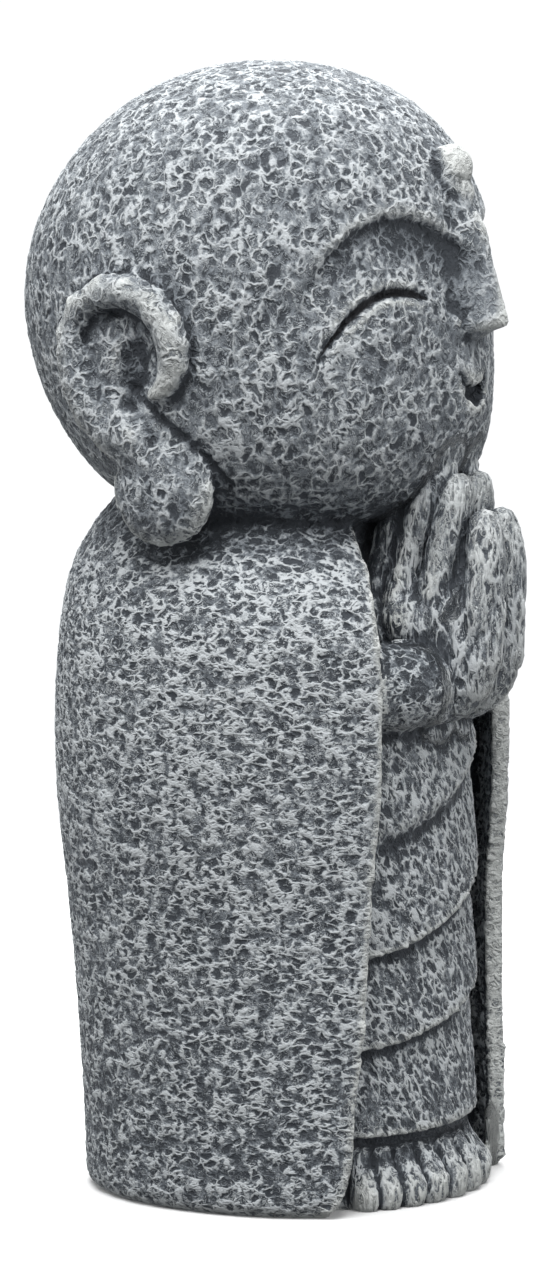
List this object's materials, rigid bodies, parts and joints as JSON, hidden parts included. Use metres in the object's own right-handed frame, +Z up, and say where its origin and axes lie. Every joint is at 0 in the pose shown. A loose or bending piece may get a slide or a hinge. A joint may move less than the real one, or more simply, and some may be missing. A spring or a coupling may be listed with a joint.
{
  "type": "jizo statue",
  "caption": "Standing stone jizo figure of a child monk with a large round head, long ears, pressed palms and an open cloak over a folded robe.",
  "frame": {"origin": "on the underside, at the middle of the foot between the heels of the cloak and the toes", "axes": "+Z up, -Y the way the figure faces, +X towards the figure's left hand"},
  "size_m": [0.1374, 0.1365, 0.3],
  "materials": {
    "stone": "rough cast stone, dark grey with pale dry-brushed ridges"
  },
  "bodies": {
    "root": {"jizo_statue": "stone"}
  },
  "joints": []
}
